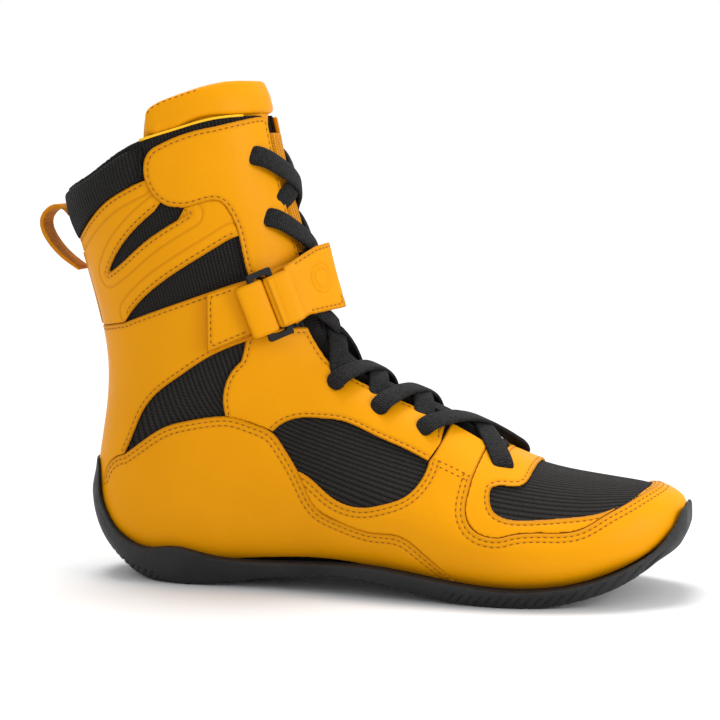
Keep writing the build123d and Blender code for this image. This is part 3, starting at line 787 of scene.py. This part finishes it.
for name, node_name, voxel, rounds, moves, material, slot_name in (
        ("footbed_cover", "footbed", 1.2, 3, "toes", foam_cloth, "footbed_foam"),
        ("strap_ring", "ring", 0.3, 9, "shaft", plastic, "black_plastic"),
        ("loop_pile", "loop_patch", 0.35, 2, "shaft", pile, "hook_and_loop"),
        ("hook_pile", "hook_patch", 0.35, 2, "tail", pile, "hook_and_loop")):
    piece = new_object(name, dense(name, (node_name,), voxel, rounds))
    settle(piece, moves, material, (node_name,))
for name, node_name, moves in (
        ("heel_webbing", "back_webbing", "shaft"), ("heel_loop", "pull_loop", "loop")):
    web = dense(name, (node_name,), 0.4, 3)
    place = (coordinates(web) - origin) / MM
    store(web, "across", place[:, 1])
    store(web, "along", place[:, 2] - place[:, 0])
    settle(new_object(name, web), moves, web_weave, (node_name,))
nodes["shank_board"].data.materials.clear()
nodes["shank_board"].data.materials.append(board)

# ---------------------------------------------------------------- laces
LACE_HALF, LACE_THICK = 5.0, 1.2
LACE_ENDS, SQUARE_ENDS = (0.5, 0.78, 0.92, 1.0), (0.86, 0.97, 1.0)
LACE_RING = 16
# How deep the low end of a lace goes under the throat's edge, and each edge's distance from the middle.
TUCK, UPPER_EDGE, LOWER_EDGE, EDGES_MEET = 3.8, 8.5, 12.5, 128


def islands(source):
    """The separate pieces of a bmesh, as new bmeshes."""
    left, pieces = set(source.verts), []
    while left:
        group, edge = set(), [left.pop()]
        while edge:
            v = edge.pop()
            group.add(v)
            for link in v.link_edges:
                other = link.other_vert(v)
                if other in left:
                    left.discard(other)
                    edge.append(other)
        pieces.append(group)
    made = []
    for group in sorted(pieces, key=lambda g: min(v.index for v in g)):
        piece = bmesh.new()
        twin = {v: piece.verts.new(v.co) for v in sorted(group, key=lambda v: v.index)}
        for face in source.faces:
            if face.verts[0] in group:
                piece.faces.new([twin[v] for v in face.verts])
        made.append(piece)
    return made


def ribbon(points, sides, half=LACE_HALF, high=LACE_THICK, ends=SQUARE_ENDS):
    """A flat ribbon's vertices, faces and weave places along a line, with rounded edges and closed ends."""
    ways = np.gradient(points, axis=0)
    ways /= np.linalg.norm(ways, axis=1)[:, None]
    sides = sides - ways * (sides * ways).sum(1)[:, None]
    sides /= np.linalg.norm(sides, axis=1)[:, None]
    ups = np.cross(ways, sides)
    turn = np.arange(LACE_RING) * 2 * math.pi / LACE_RING
    wide = np.sign(np.cos(turn)) * np.abs(np.cos(turn)) ** 0.55 * half
    thick = np.sign(np.sin(turn)) * np.abs(np.sin(turn)) ** 0.7 * high
    run = np.concatenate([[0], np.cumsum(np.linalg.norm(np.diff(points, axis=0), axis=1))]) / MM
    last = len(points) - 1
    rings, along, across = [], [], []
    for i, p in enumerate(points):
        size = ends[min(i, last - i, len(ends) - 1)]
        rings.append(p + (np.outer(wide, sides[i]) * size + np.outer(thick, ups[i])) * MM)
        along.append(np.full(LACE_RING, run[i]))
        across.append(wide)
    faces = []
    for this in range(0, last * LACE_RING, LACE_RING):
        onward = this + LACE_RING
        for k in range(LACE_RING):
            n = (k + 1) % LACE_RING
            faces.append([this + k, this + n, onward + n, onward + k])
    faces.append(list(range(LACE_RING))[::-1])
    faces.append(list(range(last * LACE_RING, (last + 1) * LACE_RING)))
    return np.vstack(rings), faces, np.concatenate(along), np.concatenate(across)


def band_line(piece):
    """The middle line of a lace band, from its solid's slices."""
    mesh = remeshed("band", piece, 0.5)
    co = coordinates(mesh)
    bpy.data.meshes.remove(mesh)
    middle = co.mean(0)
    way = np.linalg.svd(co - middle, full_matrices=False)[2][0]
    side = np.cross(way, around(middle[None])[0][0])
    side /= np.linalg.norm(side)
    length = (co - middle) @ way
    slices = np.linspace(length.min(), length.max(), 17)
    found = []
    for low, high in zip(slices[:-1], slices[1:]):
        part = co[(length >= low) & (length <= high)]
        found.append(part.mean(0) - side * ((part - middle) @ side).mean() * 0.5)
    return np.array(found)


def lace_piece(name, node_name, moves):
    source = welded([node_name])
    points, faces, along, across, count = [], [], [], [], 0
    for piece in islands(source):
        line = band_line(piece)
        piece.free()
        out, lengths, _ = around(line)
        if lengths[0] > lengths[-1]:
            line, out = line[::-1].copy(), out[::-1].copy()
        if node_name != "lace_toe":
            where = (line - origin) / MM
            half_gap = np.where(where[:, 2] > EDGES_MEET, UPPER_EDGE, LOWER_EDGE)
            low_half = np.arange(len(line)) < len(line) / 2
            tucked = TUCK * ease(np.abs(where[:, 1]) - half_gap, -1.8, 1.8) * low_half
            line = line - out * tucked[:, None] * MM
        for _ in range(2):
            line[1:-1] = (line[:-2] + 2 * line[1:-1] + line[2:]) / 4
        first = line[0] + (line[0] - line[1]) * 0.9 - out[0] * 1.6 * MM
        last = line[-1] + (line[-1] - line[-2]) * 0.9 - out[-1] * 1.6 * MM
        low_first = first + (line[0] - line[1]) * 0.35 - out[0] * 3.4 * MM
        low_last = last + (line[-1] - line[-2]) * 0.35 - out[-1] * 3.4 * MM
        knots = np.vstack([low_first, first, line, last, low_last])
        run = np.concatenate([[0], np.cumsum(np.linalg.norm(np.diff(knots, axis=0), axis=1))])
        places = np.linspace(0, run[-1], 64)
        dense_line = np.column_stack([np.interp(places, run, knots[:, k]) for k in range(3)])
        for _ in range(6):
            dense_line[1:-1] = (dense_line[:-2] + 2 * dense_line[1:-1] + dense_line[2:]) / 4
        ways = np.gradient(dense_line, axis=0)
        p, f, u, v = ribbon(dense_line, np.cross(ways, around(dense_line)[0]), ends=LACE_ENDS)
        points.append(p)
        faces += [[i + count for i in face] for face in f]
        along.append(u)
        across.append(v)
        count += len(p)
    source.free()
    mesh = mesh_from(name, np.vstack(points), faces)
    store(mesh, "along", np.concatenate(along))
    store(mesh, "across", np.concatenate(across))
    return settle(new_object(name, mesh), moves, lace_weave, (node_name,))


for name, node_name, moves in (
        ("lace_over_toes", "lace_toe", "toes"), ("lace_over_vamp", "lace_vamp", "ankle"),
        ("lace_over_ankle", "lace_ankle", "ankle"), ("lace_up_shaft", "lace_shaft", "shaft")):
    lace_piece(name, node_name, moves)

# ---------------------------------------------------------------- leather round the ring, and collar piping
WRAP_RINGS = 30


def wrap(name, middle, long_way, side, half_long, half_wide, half_high):
    """A flattened leather sleeve round one of the ring's bars, along long_way."""
    line = middle + np.outer(np.linspace(-half_long, half_long, WRAP_RINGS) * MM, long_way)
    points, faces, along, across = ribbon(line, np.tile(side, (WRAP_RINGS, 1)), half_wide, half_high)
    mesh = mesh_from(name, points, faces)
    store(mesh, "shade", 0.35 * np.exp(-(half_long - np.abs(along - half_long)) ** 2))
    settle(new_object(name, mesh), "shaft", leather)


for name, across, out, half_long, half_wide, half_high in (
        ("ring_wrap_rear", 6.0, -0.5, 12.6, 6.8, 2.1), ("ring_wrap_front", -7.4, 0.7, 12.2, 6.7, 2.4)):
    middle = ring_middle + (ring_side * across + ring_out * out) * MM
    wrap(name, middle, ring_long, ring_side, half_long, half_wide, half_high)

PIPING_STEP, PIPING_RADIUS, PIPING_OUT = 3.0, 0.6, 0.9
PIPING_BACK, PIPING_DROP = -108.0, 60
shaft_rim = coordinates(bpy.data.objects["bootie_rear"].data)
rim_out, rim_along, rim_across = around(shaft_rim)
rim_facing = (vertex_normals(bpy.data.objects["bootie_rear"].data) * rim_out).sum(1) > 0.1
rim_far_enough = (shaft_rim[:, 0] > at(PIPING_BACK, 0, 0).x) & (rim_along > rim_along.max() - PIPING_DROP)
for name, way in (("outer", -1), ("inner", 1)):
    lows, line = way * np.arange(15, 117, PIPING_STEP), []
    for low in lows:
        near = np.flatnonzero(rim_facing & (np.abs(rim_across - low) < PIPING_STEP / 2))
        top = near[rim_along[near].argmax()] if len(near) else None
        if top is not None and rim_far_enough[top]:
            line.append(shaft_rim[top] + rim_out[top] * PIPING_OUT * MM)
    line = np.array(line)
    for _ in range(3):
        line[1:-1] = (line[:-2] + 2 * line[1:-1] + line[2:]) / 4
    points, faces, along, across = ribbon(line, around(line)[0], PIPING_RADIUS, PIPING_RADIUS)
    piping = new_object("collar_piping_" + name, mesh_from("collar_piping_" + name, points, faces))
    settle(piping, "shaft", piping_cloth)

# ---------------------------------------------------------------- floor, light and camera
CAMERA_TURN, CAMERA_AWAY, CAMERA_HIGH = 14.0, 1050.0, 221.5
AIM = (-11.0, 0.0, 106.5)
PIXELS_PER_MM, PICTURE, SENSOR = 2.10, 720.0, 36.0


def turned_to(obj, target):
    obj.rotation_euler = (Vector(target) - obj.location).to_track_quat("-Z", "Y").to_euler()


floor_mesh = mesh_from("floor", [(-8, -8, 0), (8, -8, 0), (8, 8, 0), (-8, 8, 0)], [(0, 1, 2, 3)])
floor = new_object("floor", floor_mesh)
floor_finish = Finish("pale_floor", 0.9, specular=0.1)
floor_finish.color((0.68, 0.68, 0.68, 1.0))
floor.data.materials.append(floor_finish.material)

world = bpy.data.worlds.new("studio")
world.use_nodes = True
world.node_tree.nodes["Background"].inputs["Color"].default_value = (1, 1, 1, 1)
world.node_tree.nodes["Background"].inputs["Strength"].default_value = 1.0
bpy.context.scene.world = world
bpy.context.scene.view_settings.view_transform = "Standard"

overhead = bpy.data.lights.new("overhead", "SUN")
overhead.energy = 2.2
overhead.angle = math.radians(26)
front_edge = bpy.data.lights.new("front_edge", "AREA")
front_edge.size = 0.5
front_edge.energy = 5.0
for light, place in ((overhead, (-140, 190, 1000)), (front_edge, (900, -250, 400))):
    lamp = bpy.data.objects.new(light.name, light)
    bpy.context.scene.collection.objects.link(lamp)
    lamp.location = at(*place)
    turned_to(lamp, at(-20, 0, 90))

turn = math.radians(CAMERA_TURN)
camera = bpy.data.objects.new("camera", bpy.data.cameras.new("camera"))
bpy.context.scene.collection.objects.link(camera)
camera.location = at(AIM[0] + CAMERA_AWAY * math.sin(turn), -CAMERA_AWAY * math.cos(turn), CAMERA_HIGH)
distance = (camera.location - at(*AIM)).length
camera.data.sensor_width = SENSOR
camera.data.lens = PIXELS_PER_MM * (distance / MM) * SENSOR / PICTURE
camera.data.clip_start, camera.data.clip_end = 0.01, 50.0
turned_to(camera, at(*AIM))
bpy.context.scene.camera = camera
